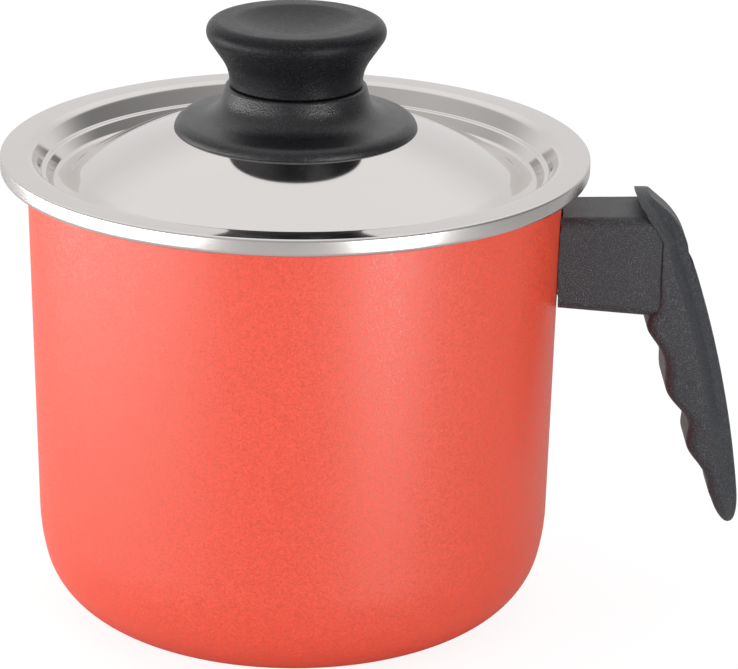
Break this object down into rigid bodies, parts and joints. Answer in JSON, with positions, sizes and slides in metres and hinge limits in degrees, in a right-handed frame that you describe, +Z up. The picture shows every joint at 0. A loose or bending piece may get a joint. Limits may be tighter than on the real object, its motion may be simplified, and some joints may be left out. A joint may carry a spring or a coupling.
{
  "type": "milk pan",
  "caption": "Deep round milk pan with tapered wall and out-turned rim, a domed steel lid with a dished knob, and a drop-shaped phenolic side handle with finger rests.",
  "frame": {"origin": "on the pan's axis, at the level of its base, where it stands", "axes": "+X from the axis towards the handle, +Z up, +Y to the left of the handle seen from the pan"},
  "size_m": [0.2032, 0.1588, 0.165],
  "materials": {
    "pan_coating": "red metallic coating with fine sparkle",
    "handle_phenolic": "fine satin texture",
    "knob_phenolic": "semi-gloss moulded",
    "lid_steel": "polished stainless steel",
    "fastener_steel": "zinc plated",
    "rivet_aluminium": "plain",
    "insert_brass": "turned"
  },
  "bodies": {
    "pan": {"pan_body": "pan_coating", "handle_bracket": "fastener_steel", "handle_boss": "fastener_steel", "bracket_rivets": "rivet_aluminium", "handle": "handle_phenolic", "handle_screw": "fastener_steel", "handle_washer": "fastener_steel"},
    "lid": {"lid_disc": "lid_steel", "knob_skirt": "knob_phenolic", "lid_knob": "knob_phenolic", "knob_insert": "insert_brass", "knob_screw": "fastener_steel", "knob_washer": "fastener_steel"}
  },
  "joints": [
    {"name": "lid_lift", "type": "slide", "parent": "pan", "child": "lid", "axis": [0, 0, 1], "range_m": [0, 0.12]}
  ]
}
